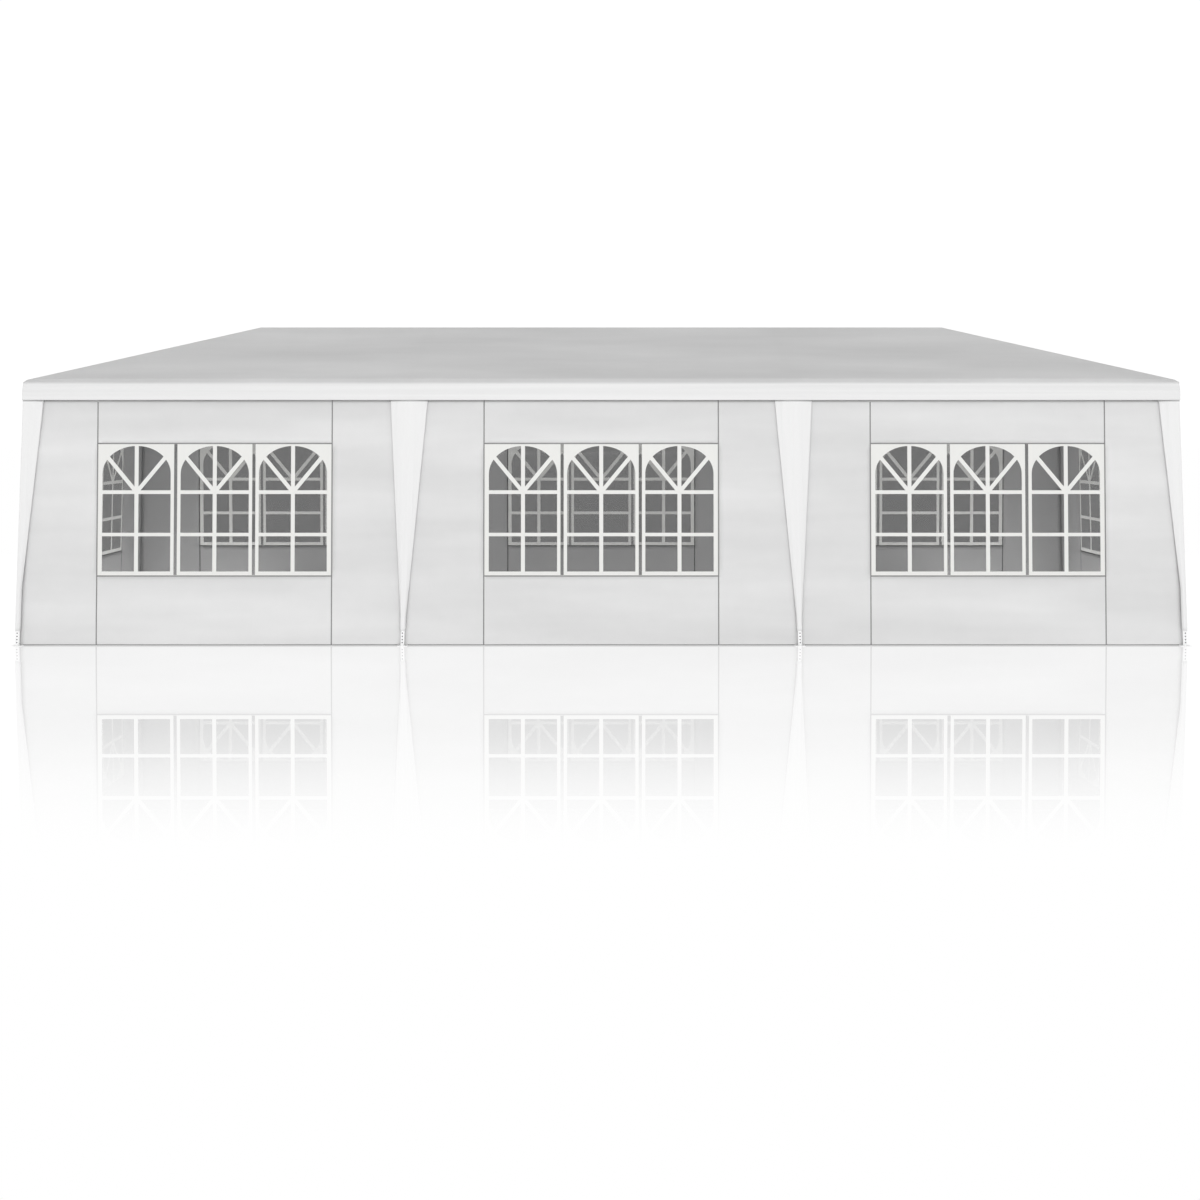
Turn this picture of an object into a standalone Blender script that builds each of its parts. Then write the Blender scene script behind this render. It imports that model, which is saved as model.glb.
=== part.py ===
"""A white marquee tent, three bays long, with a hipped roof and windows in every wall.

X runs along the long side, the front faces -Y and Z is up. The origin lies on the ground
under the middle of the tent. Lengths are in metres.
"""

import math

import bmesh
import bpy
from mathutils import Vector

# Driving dimensions, between the centre lines of the tubes at the eaves
BAY = 3.0
HALF_LENGTH = 1.5 * BAY
HALF_DEPTH = 1.5
EAVE_HEIGHT = 2.05
ROOF_RISE = 0.515
LEG_SPLAY = 0.05  # how far a foot stands outside the top of its leg, along X and along Y

# Tubes and fittings
LEG_RADIUS = 0.016
TUBE_RADIUS = 0.014
SLEEVE_RADIUS = 0.0165
SLEEVE_REACH = 0.06
SLEEVE_END = 0.002  # how far a corner's sleeve runs past the centre
ARM_RADIUS = 0.0158
ARM_OVERLAP = 0.004
BACK_ARM_OVERLAP = 0.0025  # less than the front arm's, so that their ends don't meet edge to edge
LEG_ARM_REACH = 0.025
SIDE_ARM_REACH = 0.045
RAFTER_ARM_REACH = 0.045
ROUND_SEGMENTS = 20
FOOT_PLATE_WIDTH = 0.075
FOOT_PLATE_THICKNESS = 0.003
FOOT_WELD_DEPTH = 0.0015
ADJUSTING_HOLE_RADIUS = 0.005
ADJUSTING_HOLE_HEIGHTS = (0.027, 0.050, 0.075, 0.100)
HOLE_SEGMENTS = 12

# Cloth and film, thicker than the real ones so that they are solids
FABRIC = 0.002
FILM = 0.001
GAP = 0.0003  # clearance between neighbouring pieces

# Roof cover and valance
COVER_OFFSET = SLEEVE_RADIUS + GAP
EAVE_OVERHANG = 0.0205
VALANCE_BOTTOM = 1.915
VALANCE_FLARE = 0.006

# Walls and windows
WALL_TOP = 2.030
WALL_BOTTOM = 0.0045
CORNER_LAP = 0.010  # how far a long side's wall runs past an end wall, behind the leg
WINDOW_WIDTH = 1.835
WINDOW_BOTTOM = 0.541
WINDOW_TOP = 1.576

# Leg drapes, widest under the eaves. Each narrows until it is as wide as its leg, and runs on down
# from there. It lies flat on the outside of the leg, and its wings run back towards the wall.
DRAPE_TOP = 2.020
DRAPE_BOTTOM = 0.118
MIDDLE_DRAPE_WIDTHS = (0.044, 0.308)  # along the leg and at the top
MIDDLE_DRAPE_NARROW_END = 0.22
MIDDLE_DRAPE_FLAT = 0.034
CORNER_DRAPE_WIDTHS = (0.038, 0.168)
CORNER_DRAPE_NARROW_END = 0.45
CORNER_DRAPE_FLAT = 0.0355
DRAPE_DEPTH = 0.0286  # from the outer face to the edges, at the top

ROOF_PITCH = math.atan2(ROOF_RISE, HALF_DEPTH)
RIDGE_HEIGHT = EAVE_HEIGHT + ROOF_RISE
RIDGE_HALF_LENGTH = HALF_LENGTH - HALF_DEPTH
LEG_PLACES = {
    "left": -HALF_LENGTH,
    "middle_left": -BAY / 2,
    "middle_right": BAY / 2,
    "right": HALF_LENGTH,
}
LONG_SIDES = {"front": -HALF_DEPTH, "back": HALF_DEPTH}
SIDES = ("front", "back", "left", "right")


def clear_scene():
    for thing in list(bpy.data.objects):
        bpy.data.objects.remove(thing, do_unlink=True)


def new_collection(name):
    collection = bpy.data.collections.new(name)
    bpy.context.scene.collection.children.link(collection)
    return collection


def new_material(name, colour, roughness, metallic=0.0, alpha=1.0):
    material = bpy.data.materials.new(name)
    material.use_nodes = True
    shader = material.node_tree.nodes["Principled BSDF"]
    shader.inputs["Base Color"].default_value = (*colour, 1.0)
    shader.inputs["Roughness"].default_value = roughness
    shader.inputs["Metallic"].default_value = metallic
    shader.inputs["Alpha"].default_value = alpha
    return material


def add_object(name, form, material, collection):
    """Turns a bmesh into a named object of the given material."""
    bmesh.ops.recalc_face_normals(form, faces=form.faces)
    mesh = bpy.data.meshes.new(name)
    form.to_mesh(mesh)
    form.free()
    mesh.materials.append(material)
    thing = bpy.data.objects.new(name, mesh)
    collection.objects.link(thing)
    return thing


def round_bar(name, start, end, radius, material, collection, segments=ROUND_SEGMENTS):
    """A closed cylinder whose end centres are start and end."""
    axis = Vector(end) - Vector(start)
    form = bmesh.new()
    bmesh.ops.create_cone(
        form, cap_ends=True, segments=segments, radius1=radius, radius2=radius, depth=axis.length
    )
    bar = add_object(name, form, material, collection)
    bar.location = (Vector(start) + Vector(end)) / 2
    bar.rotation_euler = axis.to_track_quat("Z", "Y").to_euler()
    return bar


def box(name, size, centre, material, collection):
    form = bmesh.new()
    bmesh.ops.create_cube(form, size=1.0)
    bmesh.ops.scale(form, vec=size, verts=form.verts)
    block = add_object(name, form, material, collection)
    block.location = centre
    return block


def loft(name, outlines, material, collection):
    """A closed solid through flat outlines that have the same number of points."""
    form = bmesh.new()
    rings = [[form.verts.new(point) for point in outline] for outline in outlines]
    form.faces.new(rings[0])
    form.faces.new(rings[-1])
    for low, high in zip(rings, rings[1:]):
        for index in range(len(low)):
            after = (index + 1) % len(low)
            form.faces.new((low[index], low[after], high[after], high[index]))
    return add_object(name, form, material, collection)


def combine(body, helper, operation):
    """Joins a helper shape to the body, or cuts it out, and hides the helper."""
    modifier = body.modifiers.new(operation.lower(), "BOOLEAN")
    modifier.operation = operation
    modifier.solver = "EXACT"
    modifier.object = helper
    helper.hide_render = True
    helper.display_type = "WIRE"


def lean(height):
    """How far the legs stand outside their eave position at a height."""
    return LEG_SPLAY * (EAVE_HEIGHT - height) / EAVE_HEIGHT


def leg_centre(along, across, height):
    """The centre of the leg whose top is at (along, across), at a height."""
    x = along + math.copysign(lean(height), along)
    y = across + math.copysign(lean(height), across)
    return Vector((x, y, height))


def place(facing, along, outward, height):
    """A point on one side of the tent: along it, outward from the middle, and up."""
    points = {
        "front": (along, -outward, height),
        "back": (along, outward, height),
        "left": (-outward, along, height),
        "right": (outward, along, height),
    }
    return points[facing]


def sheet_outline(facing, start, end, outward, thickness, height):
    """The level cut through an upright sheet whose outer face is at outward."""
    return [
        place(facing, start, outward, height),
        place(facing, end, outward, height),
        place(facing, end, outward - thickness, height),
        place(facing, start, outward - thickness, height),
    ]


def toward(start, end, distance):
    """The point at a distance from start on the way to end."""
    return start + (end - start).normalized() * distance


# Legs, each welded to its foot plate and drilled for setting the height


def build_leg(name, along, across, steel, parts, helpers):
    top = leg_centre(along, across, EAVE_HEIGHT - LEG_ARM_REACH - GAP)
    bottom = leg_centre(along, across, FOOT_WELD_DEPTH)
    leg = round_bar(name, bottom, top, LEG_RADIUS, steel, parts)
    foot = leg_centre(along, across, 0.0)
    plate = box(
        name + "_plate",
        (FOOT_PLATE_WIDTH, FOOT_PLATE_WIDTH, FOOT_PLATE_THICKNESS),
        (foot.x, foot.y, FOOT_PLATE_THICKNESS / 2),
        steel,
        helpers,
    )
    combine(leg, plate, "UNION")
    for number, height in enumerate(ADJUSTING_HOLE_HEIGHTS, start=1):
        centre = leg_centre(along, across, height)
        reach = Vector((0.0, 2 * LEG_RADIUS, 0.0))
        drill = round_bar(
            f"{name}_hole_{number}",
            centre - reach,
            centre + reach,
            ADJUSTING_HOLE_RADIUS,
            steel,
            helpers,
            HOLE_SEGMENTS,
        )
        combine(leg, drill, "DIFFERENCE")


def build_legs(steel, parts, helpers):
    for side, across in LONG_SIDES.items():
        for where, along in LEG_PLACES.items():
            build_leg(f"{side}_{where}_leg", along, across, steel, parts, helpers)


# Eave rails, ridge pole and rafters, with the connectors that the tubes push into


def rafter_foot(along, across):
    return Vector((along, across, EAVE_HEIGHT))


def rafter_head(along):
    """Where the rafter from a leg meets the ridge."""
    reach = min(abs(along), RIDGE_HALF_LENGTH)
    return Vector((math.copysign(reach, along), 0.0, RIDGE_HEIGHT))


def add_arm(body, name, centre, end, radius, steel, helpers, overlap=ARM_OVERLAP):
    """Joins an arm that starts a little behind its connector's centre."""
    arm = round_bar(name, toward(centre, end, -overlap), end, radius, steel, helpers)
    combine(body, arm, "UNION")


def add_sleeve(body, name, centre, along, steel, helpers):
    """Joins the sleeve around a rail or the ridge pole, which runs one way at a corner."""
    inward = Vector((-math.copysign(1.0, along), 0.0, 0.0))
    outer_reach = SLEEVE_END if abs(along) == HALF_LENGTH else SLEEVE_REACH
    start = centre - inward * outer_reach
    sleeve = round_bar(name, start, centre + inward * SLEEVE_REACH, SLEEVE_RADIUS, steel, helpers)
    combine(body, sleeve, "UNION")


def build_long_rail(side, across, steel, parts, helpers):
    """One long eave rail with the connectors over its four legs."""
    name = side + "_eave_rail"
    left_end = Vector((-HALF_LENGTH + TUBE_RADIUS, across, EAVE_HEIGHT))
    right_end = Vector((HALF_LENGTH - TUBE_RADIUS, across, EAVE_HEIGHT))
    rail = round_bar(name, left_end, right_end, TUBE_RADIUS, steel, parts)
    for where, along in LEG_PLACES.items():
        connector = f"{name}_{where}"
        centre = rafter_foot(along, across)
        to_rafter = toward(centre, rafter_head(along), RAFTER_ARM_REACH)
        to_leg = leg_centre(along, across, EAVE_HEIGHT - LEG_ARM_REACH)
        add_sleeve(rail, connector + "_sleeve", centre, along, steel, helpers)
        add_arm(rail, connector + "_rafter_arm", centre, to_rafter, ARM_RADIUS, steel, helpers)
        add_arm(rail, connector + "_leg_arm", centre, to_leg, LEG_RADIUS, steel, helpers)
        if abs(along) == HALF_LENGTH:
            to_end_rail = centre - Vector((0.0, math.copysign(SIDE_ARM_REACH, across), 0.0))
            add_arm(rail, connector + "_side_arm", centre, to_end_rail, ARM_RADIUS, steel, helpers)


def build_end_rail(name, along, steel, parts):
    half_span = HALF_DEPTH - SIDE_ARM_REACH - GAP
    start = (along, -half_span, EAVE_HEIGHT)
    end = (along, half_span, EAVE_HEIGHT)
    round_bar(name, start, end, TUBE_RADIUS, steel, parts)


def build_ridge_pole(steel, parts, helpers):
    start = Vector((-RIDGE_HALF_LENGTH + TUBE_RADIUS, 0.0, RIDGE_HEIGHT))
    end = Vector((RIDGE_HALF_LENGTH - TUBE_RADIUS, 0.0, RIDGE_HEIGHT))
    pole = round_bar("ridge_pole", start, end, TUBE_RADIUS, steel, parts)
    for where, along in LEG_PLACES.items():
        connector = f"ridge_{where}"
        centre = rafter_head(along)
        add_sleeve(pole, connector + "_sleeve", centre, along, steel, helpers)
        for side, across in LONG_SIDES.items():
            to_rafter = toward(centre, rafter_foot(along, across), RAFTER_ARM_REACH)
            name = f"{connector}_{side}_arm"
            overlap = ARM_OVERLAP if side == "front" else BACK_ARM_OVERLAP
            add_arm(pole, name, centre, to_rafter, ARM_RADIUS, steel, helpers, overlap)


def build_rafters(steel, parts):
    for side, across in LONG_SIDES.items():
        for where, along in LEG_PLACES.items():
            kind = "hip_rafter" if abs(along) == HALF_LENGTH else "rafter"
            foot = rafter_foot(along, across)
            head = rafter_head(along)
            start = toward(foot, head, RAFTER_ARM_REACH + GAP)
            end = toward(head, foot, RAFTER_ARM_REACH + GAP)
            round_bar(f"{side}_{where}_{kind}", start, end, TUBE_RADIUS, steel, parts)


# Panels of the roof cover, and the valance that hangs from its edge


def cover_height(inward, offset):
    """Height of the roof at a distance in from the eave line, offset above the tubes' centres."""
    return EAVE_HEIGHT + inward * math.tan(ROOF_PITCH) + offset / math.cos(ROOF_PITCH)


def roof_panel_outline(facing, offset):
    """One face of a panel: its eave, and then its ridge, which is a point on the ends."""
    on_long_side = facing in LONG_SIDES
    half_eave = (HALF_LENGTH if on_long_side else HALF_DEPTH) + EAVE_OVERHANG
    eave_outward = (HALF_DEPTH if on_long_side else HALF_LENGTH) + EAVE_OVERHANG
    half_ridge = RIDGE_HALF_LENGTH if on_long_side else 0.0
    ridge_outward = 0.0 if on_long_side else RIDGE_HALF_LENGTH
    eave = cover_height(-EAVE_OVERHANG, offset)
    ridge = cover_height(HALF_DEPTH, offset)
    outline = [
        place(facing, -half_eave, eave_outward + GAP / 2, eave),
        place(facing, half_eave, eave_outward + GAP / 2, eave),
        place(facing, half_ridge, ridge_outward + GAP / 2, ridge),
    ]
    if on_long_side:
        outline.append(place(facing, -half_ridge, ridge_outward + GAP / 2, ridge))
    return outline


def build_roof_panels(fabric, parts):
    for facing in SIDES:
        under = roof_panel_outline(facing, COVER_OFFSET)
        over = roof_panel_outline(facing, COVER_OFFSET + FABRIC)
        loft(facing + "_roof_panel", (under, over), fabric, parts)


def valance_outline(facing, outward, height):
    """The level cut through one side's valance, mitred at both ends."""
    half_span = HALF_LENGTH if facing in LONG_SIDES else HALF_DEPTH - GAP
    distance = HALF_DEPTH if facing in LONG_SIDES else HALF_LENGTH
    inner = outward - FABRIC
    return [
        place(facing, -half_span - outward, distance + outward, height),
        place(facing, half_span + outward, distance + outward, height),
        place(facing, half_span + inner, distance + inner, height),
        place(facing, -half_span - inner, distance + inner, height),
    ]


def build_valances(fabric, parts):
    top = cover_height(-EAVE_OVERHANG, COVER_OFFSET) - GAP
    for facing in SIDES:
        lower = valance_outline(facing, EAVE_OVERHANG + VALANCE_FLARE, VALANCE_BOTTOM)
        upper = valance_outline(facing, EAVE_OVERHANG, top)
        loft(facing + "_valance", (lower, upper), fabric, parts)


# Walls, which hang inside the legs, with the film of their windows


def wall_outward(facing, height):
    """Distance from the tent's middle to a wall's outer face."""
    distance = HALF_DEPTH if facing in LONG_SIDES else HALF_LENGTH
    return distance + lean(height) - LEG_RADIUS - GAP


def wall_edge(along, height):
    """Where a long side's wall ends: behind a middle leg, or past an end wall at a corner leg."""
    if abs(along) == HALF_LENGTH:
        edge = wall_outward("right", height) + CORNER_LAP
    else:
        edge = abs(along) + lean(height)
    return math.copysign(edge, along)


def build_wall(name, facing, centre, edges, fabric, film, parts, helpers):
    """A wall between two edges that are functions of the height, with its window closed by film."""
    outlines = [
        sheet_outline(facing, edges[0](height), edges[1](height), wall_outward(facing, height), FABRIC, height)
        for height in (WALL_BOTTOM, WALL_TOP)
    ]
    wall = loft(name + "_wall", outlines, fabric, parts)
    half = WINDOW_WIDTH / 2
    middle = wall_outward(facing, (WINDOW_BOTTOM + WINDOW_TOP) / 2)
    cutter_depth = 2 * LEG_SPLAY
    cutter_outlines = [
        sheet_outline(facing, centre - half, centre + half, middle + cutter_depth / 2, cutter_depth, height)
        for height in (WINDOW_BOTTOM, WINDOW_TOP)
    ]
    cutter = loft(name + "_window_cutter", cutter_outlines, fabric, helpers)
    combine(wall, cutter, "DIFFERENCE")
    inset = (FABRIC - FILM) / 2
    film_outlines = [
        sheet_outline(
            facing,
            centre - half + GAP,
            centre + half - GAP,
            wall_outward(facing, height) - inset,
            FILM,
            height,
        )
        for height in (WINDOW_BOTTOM + GAP, WINDOW_TOP - GAP)
    ]
    loft(name + "_window_film", film_outlines, film, parts)


def build_walls(fabric, film, parts, helpers):
    places = list(LEG_PLACES.values())
    window_middle = (WINDOW_BOTTOM + WINDOW_TOP) / 2
    for facing in LONG_SIDES:
        for index, where in enumerate(("left", "middle", "right")):
            first, last = places[index], places[index + 1]
            edges = (
                lambda height, along=first: wall_edge(along, height) + GAP / 2,
                lambda height, along=last: wall_edge(along, height) - GAP / 2,
            )
            legs = [leg_centre(along, HALF_DEPTH, window_middle).x for along in (first, last)]
            centre = sum(legs) / 2
            build_wall(f"{facing}_{where}", facing, centre, edges, fabric, film, parts, helpers)
    for facing in ("left", "right"):
        edges = (
            lambda height: FABRIC + GAP - wall_outward("front", height),
            lambda height: wall_outward("front", height) - FABRIC - GAP,
        )
        build_wall(facing + "_end", facing, 0.0, edges, fabric, film, parts, helpers)


# Leg drapes, which hang outside the legs


def band(points, thickness):
    """The closed outline of a strip along a line of plan points, thickened to its left."""
    line = [Vector(point) for point in points]
    ways = [(after - before).normalized() for before, after in zip(line, line[1:])]
    lefts = [Vector((-way.y, way.x)) for way in ways]
    lefts = [lefts[0], *lefts, lefts[-1]]
    inner = [
        point + (before + after) * (thickness / (1 + before.dot(after)))
        for point, before, after in zip(line, lefts, lefts[1:])
    ]
    return line + inner[::-1]


def drape_outward(distance, height):
    return distance + lean(height) + LEG_RADIUS + GAP + FABRIC


def wing_depth(reach, widest_reach):
    """How far back a wing's edge lies, so that the whole wing is flat."""
    return DRAPE_DEPTH * reach / widest_reach


def middle_drape_outline(facing, along, width, height):
    """The level cut through a drape over a middle leg."""
    centre = leg_centre(along, HALF_DEPTH, height).x
    outward = drape_outward(HALF_DEPTH, height)
    widest_reach = (MIDDLE_DRAPE_WIDTHS[1] - MIDDLE_DRAPE_FLAT) / 2
    back = wing_depth((width - MIDDLE_DRAPE_FLAT) / 2, widest_reach)
    line = [
        (width / 2, -back),
        (MIDDLE_DRAPE_FLAT / 2, 0.0),
        (-MIDDLE_DRAPE_FLAT / 2, 0.0),
        (-width / 2, -back),
    ]
    return [place(facing, centre + p.x, outward + p.y, height) for p in band(line, FABRIC)]


def corner_drape_outline(along, across, width, height):
    """The level cut through a drape that wraps the outside of a corner."""
    length = drape_outward(HALF_LENGTH, height)
    depth = drape_outward(HALF_DEPTH, height)
    back = wing_depth(width - CORNER_DRAPE_FLAT, CORNER_DRAPE_WIDTHS[1] - CORNER_DRAPE_FLAT)
    line = [
        (back, width),
        (0.0, CORNER_DRAPE_FLAT),
        (0.0, 0.0),
        (CORNER_DRAPE_FLAT, 0.0),
        (width, back),
    ]
    return [
        (math.copysign(length - p.x, along), math.copysign(depth - p.y, across), height)
        for p in band(line, FABRIC)
    ]


def drape_levels(widths, narrow_end):
    """The widths and heights at the foot of a drape, where it starts to widen and at its top."""
    narrow, wide = widths
    return (narrow, DRAPE_BOTTOM), (narrow, narrow_end), (wide, DRAPE_TOP)


def build_drapes(fabric, parts):
    corner_levels = drape_levels(CORNER_DRAPE_WIDTHS, CORNER_DRAPE_NARROW_END)
    middle_levels = drape_levels(MIDDLE_DRAPE_WIDTHS, MIDDLE_DRAPE_NARROW_END)
    for side, across in LONG_SIDES.items():
        for where, along in LEG_PLACES.items():
            if abs(along) == HALF_LENGTH:
                outlines = [
                    corner_drape_outline(along, across, width, height)
                    for width, height in corner_levels
                ]
            else:
                outlines = [
                    middle_drape_outline(side, along, width, height)
                    for width, height in middle_levels
                ]
            loft(f"{side}_{where}_drape", outlines, fabric, parts)


def build_tent():
    clear_scene()
    parts = new_collection("marquee_tent")
    helpers = new_collection("helpers")

    roof_fabric = new_material("roof_fabric", (0.82, 0.82, 0.82), 0.55)
    valance_fabric = new_material("valance_fabric", (0.86, 0.86, 0.85), 0.55)
    wall_fabric = new_material("wall_fabric", (0.84, 0.84, 0.83), 0.6)
    drape_fabric = new_material("drape_fabric", (0.88, 0.88, 0.87), 0.6)
    window_film = new_material("window_film", (0.75, 0.76, 0.76), 0.15, alpha=0.4)
    frame_steel = new_material("frame_steel", (0.80, 0.80, 0.79), 0.35)

    build_legs(frame_steel, parts, helpers)
    for side, across in LONG_SIDES.items():
        build_long_rail(side, across, frame_steel, parts, helpers)
    build_end_rail("left_eave_rail", -HALF_LENGTH, frame_steel, parts)
    build_end_rail("right_eave_rail", HALF_LENGTH, frame_steel, parts)
    build_ridge_pole(frame_steel, parts, helpers)
    build_rafters(frame_steel, parts)
    build_roof_panels(roof_fabric, parts)
    build_valances(valance_fabric, parts)
    build_walls(wall_fabric, window_film, parts, helpers)
    build_drapes(drape_fabric, parts)


build_tent()
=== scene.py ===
"""Cloth, clear windows, seams and finishes for a white party tent of three bays."""

import math
import random

import bmesh
import bpy
from mathutils import Matrix, Vector


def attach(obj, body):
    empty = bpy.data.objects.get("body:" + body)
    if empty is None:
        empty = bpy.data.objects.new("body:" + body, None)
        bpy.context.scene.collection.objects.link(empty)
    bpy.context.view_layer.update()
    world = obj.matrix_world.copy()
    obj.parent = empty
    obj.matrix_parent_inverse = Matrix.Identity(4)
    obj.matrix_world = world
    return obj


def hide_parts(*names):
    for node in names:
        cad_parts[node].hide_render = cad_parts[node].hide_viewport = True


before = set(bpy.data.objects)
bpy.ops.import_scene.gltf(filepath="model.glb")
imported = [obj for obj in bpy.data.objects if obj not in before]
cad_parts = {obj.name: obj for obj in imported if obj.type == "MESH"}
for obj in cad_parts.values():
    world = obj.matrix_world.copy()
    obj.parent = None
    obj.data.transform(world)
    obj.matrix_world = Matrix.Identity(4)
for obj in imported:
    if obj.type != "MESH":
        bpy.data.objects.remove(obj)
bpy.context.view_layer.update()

# The frame, in metres
HALF_LENGTH = 4.5
HALF_DEPTH = 1.5
BAY = 3.0
MIDDLE_LEG = 1.5
EAVE_HEIGHT = 2.05
RIDGE_HEIGHT = 2.565
PITCH = math.atan2(RIDGE_HEIGHT - EAVE_HEIGHT, HALF_DEPTH)
LEG_SPLAY = 0.05
LEG_RADIUS = 0.016
HOLE_RADIUS = 0.0048
FOOT_PLATE_WIDTH = 0.075
HOLE_HEIGHTS = (0.027, 0.050, 0.075, 0.100)
GAP = 0.0003
SOLID_FABRIC = 0.002  # the thickness of the solids that the cloth takes the place of

# Cloth and film
CLOTH = 0.0012
FILM = 0.0005
PRINT = 0.0009
TAPE_WIDTH = 0.009
TAPE = 0.0004  # how far a seam tape stands proud of the cloth

# The roof cover and its valance
COVER_OFFSET = 0.0188
EAVE_OVERHANG = 0.0205
EAVE_SEAM_HEIGHT = 2.0560
EAVE_FACET = 0.029  # across and up, from the valance's seam to the roof's slope
EAVE_LIFT = 0.0135  # how far the cloth stands off the rail between the corners
COVER_HEM = 0.018
CORNER_ROUNDING = 0.012
ROOF_SAG = 0.014
VALANCE_BOTTOM = 1.915
VALANCE_FLARE = 0.006
VALANCE_BULGE = 0.003

# Walls and their window sections
WALL_TOP = 2.030
WALL_BOTTOM = 0.0005
CORNER_LAP = 0.010  # how far a long side's wall runs past an end wall, behind the leg
WALL_BOTTOM_OVER_FOOT = 0.0048
WINDOW_HALF_WIDTH = 0.9175
WINDOW_BOTTOM = 0.541
WINDOW_TOP = 1.576
WAVE_DEPTH = 0.011
# The hem tape is a grey strip that paints the contact shadow where the wall meets the floor.
HEM_SHADOW_TAPE_WIDTH = 0.0075
# The top tapes are pale grey strips that paint the valance's shadow line on the walls and drapes.
WALL_SHADOW_TAPE_WIDTH = 0.017
DRAPE_SHADOW_TAPE_WIDTH = 0.012

# One window of the three in a section, around its own centre line
WINDOW_PITCH = 0.612
PANE_HALF_WIDTH = 0.267
PANE_BOTTOM = 0.576
SPRING_HEIGHT = 1.339
CROWN_HEIGHT = 1.557
BAR_WIDTH = 0.031
CROSS_BARS = ((0.851, 0.878), (1.181, 1.210))
HUB_HEIGHT = 1.1955
DIAGONAL_END = (0.215, 1.4555)
STRIP_WIDTH = 0.025  # clear film between two windows

# Leg drapes, which narrow until they are as wide as the leg, and run on down from there
DRAPE_TOP = 2.020
DRAPE_BOTTOM = 0.118
MIDDLE_DRAPE_WIDTHS = (0.044, 0.308)
MIDDLE_DRAPE_NARROW_END = 0.22
CORNER_DRAPE_WIDTHS = (0.038, 0.168)
CORNER_DRAPE_NARROW_END = 0.45
DRAPE_FLAT = 0.017  # half the width that lies flat on the leg
DRAPE_DEPTH = 0.022  # how far the edges turn back towards the wall
SHORTEST_WING = 0.009

# Painted shade: the tapes' inner faces are darker, for the dim inside of the tent.
TAPE_INNER_SHADE = 0.35  # of the outer side's brightness

# The studio
# Where each light under the tent lies along it, its length and its watts
INSIDE_LIGHTS = {"middle": (0.0, 5.6, 44.0), "left": (-3.76, 1.4, 31.0), "right": (3.76, 1.4, 31.0)}
INSIDE_LIGHT_DEPTH = 2.8
MIRROR_SHARE = 0.88  # of the gloss that a polished floor has

SIDES = ("front", "right", "back", "left")
LEGS = {
    "left": -HALF_LENGTH,
    "middle_left": -MIDDLE_LEG,
    "middle_right": MIDDLE_LEG,
    "right": HALF_LENGTH,
}
# Each wall's side, and its ends measured to the right as seen from outside
WALLS = {
    "front_left": ("front", -HALF_LENGTH, -MIDDLE_LEG),
    "front_middle": ("front", -MIDDLE_LEG, MIDDLE_LEG),
    "front_right": ("front", MIDDLE_LEG, HALF_LENGTH),
    "back_left": ("back", MIDDLE_LEG, HALF_LENGTH),
    "back_middle": ("back", -MIDDLE_LEG, MIDDLE_LEG),
    "back_right": ("back", -HALF_LENGTH, -MIDDLE_LEG),
    "left_end": ("left", -HALF_DEPTH, HALF_DEPTH),
    "right_end": ("right", -HALF_DEPTH, HALF_DEPTH),
}


# Places on the tent


def place(side, across, outward, height):
    """A point on one side, measured to the right along it, out from the middle, and up."""
    if side == "front":
        return Vector((across, -outward, height))
    if side == "back":
        return Vector((-across, outward, height))
    if side == "left":
        return Vector((-outward, -across, height))
    return Vector((outward, across, height))


def half_depth(side):
    return HALF_DEPTH if side in ("front", "back") else HALF_LENGTH


def lean(height):
    """How far the legs stand out at a height, beyond their place under the eaves."""
    return LEG_SPLAY * (EAVE_HEIGHT - height) / EAVE_HEIGHT


def wall_outward(side, height):
    return half_depth(side) + lean(height) - LEG_RADIUS - GAP


def ease(value, start, end):
    """0 before start, 1 after end, and a smooth step between."""
    share = min(max((value - start) / (end - start), 0.0), 1.0)
    return share * share * (3 - 2 * share)


def steps(start, end, longest):
    """Even steps from start to end, none of them longer than the longest."""
    count = max(1, math.ceil(abs(end - start) / longest - 1e-6))
    return [start + (end - start) * i / count for i in range(count + 1)]


# Meshes


def add_piece(name, mesh, material, replaced=()):
    piece = bpy.data.objects.new(name, mesh)
    bpy.context.collection.objects.link(piece)
    mesh.materials.append(material)
    mesh.shade_smooth()
    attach(piece, "root")
    if replaced:
        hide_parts(*replaced)
    return piece


def grid_mesh(name, rows, flat_rows, left_out=None):
    """A sheet over rows of points. The flat rows are where each point lies in the cut cloth."""
    width = len(rows[0])
    faces = []
    for r in range(len(rows) - 1):
        for c in range(width - 1):
            if left_out and left_out(r, c):
                continue
            corner = r * width + c
            faces.append((corner, corner + 1, corner + width + 1, corner + width))
    mesh = bpy.data.meshes.new(name)
    mesh.from_pydata([p for row in rows for p in row], [], faces)
    flat = [p for row in flat_rows for p in row]
    layer = mesh.uv_layers.new(name="cloth")
    for loop in mesh.loops:
        layer.data[loop.index].uv = flat[loop.vertex_index]
    drop_loose_points(mesh)
    return mesh


def drop_loose_points(mesh):
    work = bmesh.new()
    work.from_mesh(mesh)
    bmesh.ops.delete(work, geom=[v for v in work.verts if not v.link_faces], context="VERTS")
    work.to_mesh(mesh)
    work.free()


def thicken(piece, thickness, rim_sharp=True):
    """Gives a sheet its thickness behind its outer face."""
    solid = piece.modifiers.new("thickness", "SOLIDIFY")
    solid.thickness = thickness
    solid.offset = -1.0
    solid.use_even_offset = True
    if rim_sharp:
        piece.data.set_sharp_from_angle(angle=math.radians(50))
    return solid


def join_meshes(name, meshes):
    work = bmesh.new()
    for mesh in meshes:
        work.from_mesh(mesh)
    joined = bpy.data.meshes.new(name)
    work.to_mesh(joined)
    work.free()
    for mesh in meshes:
        bpy.data.meshes.remove(mesh)
    return joined


# Materials


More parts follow.
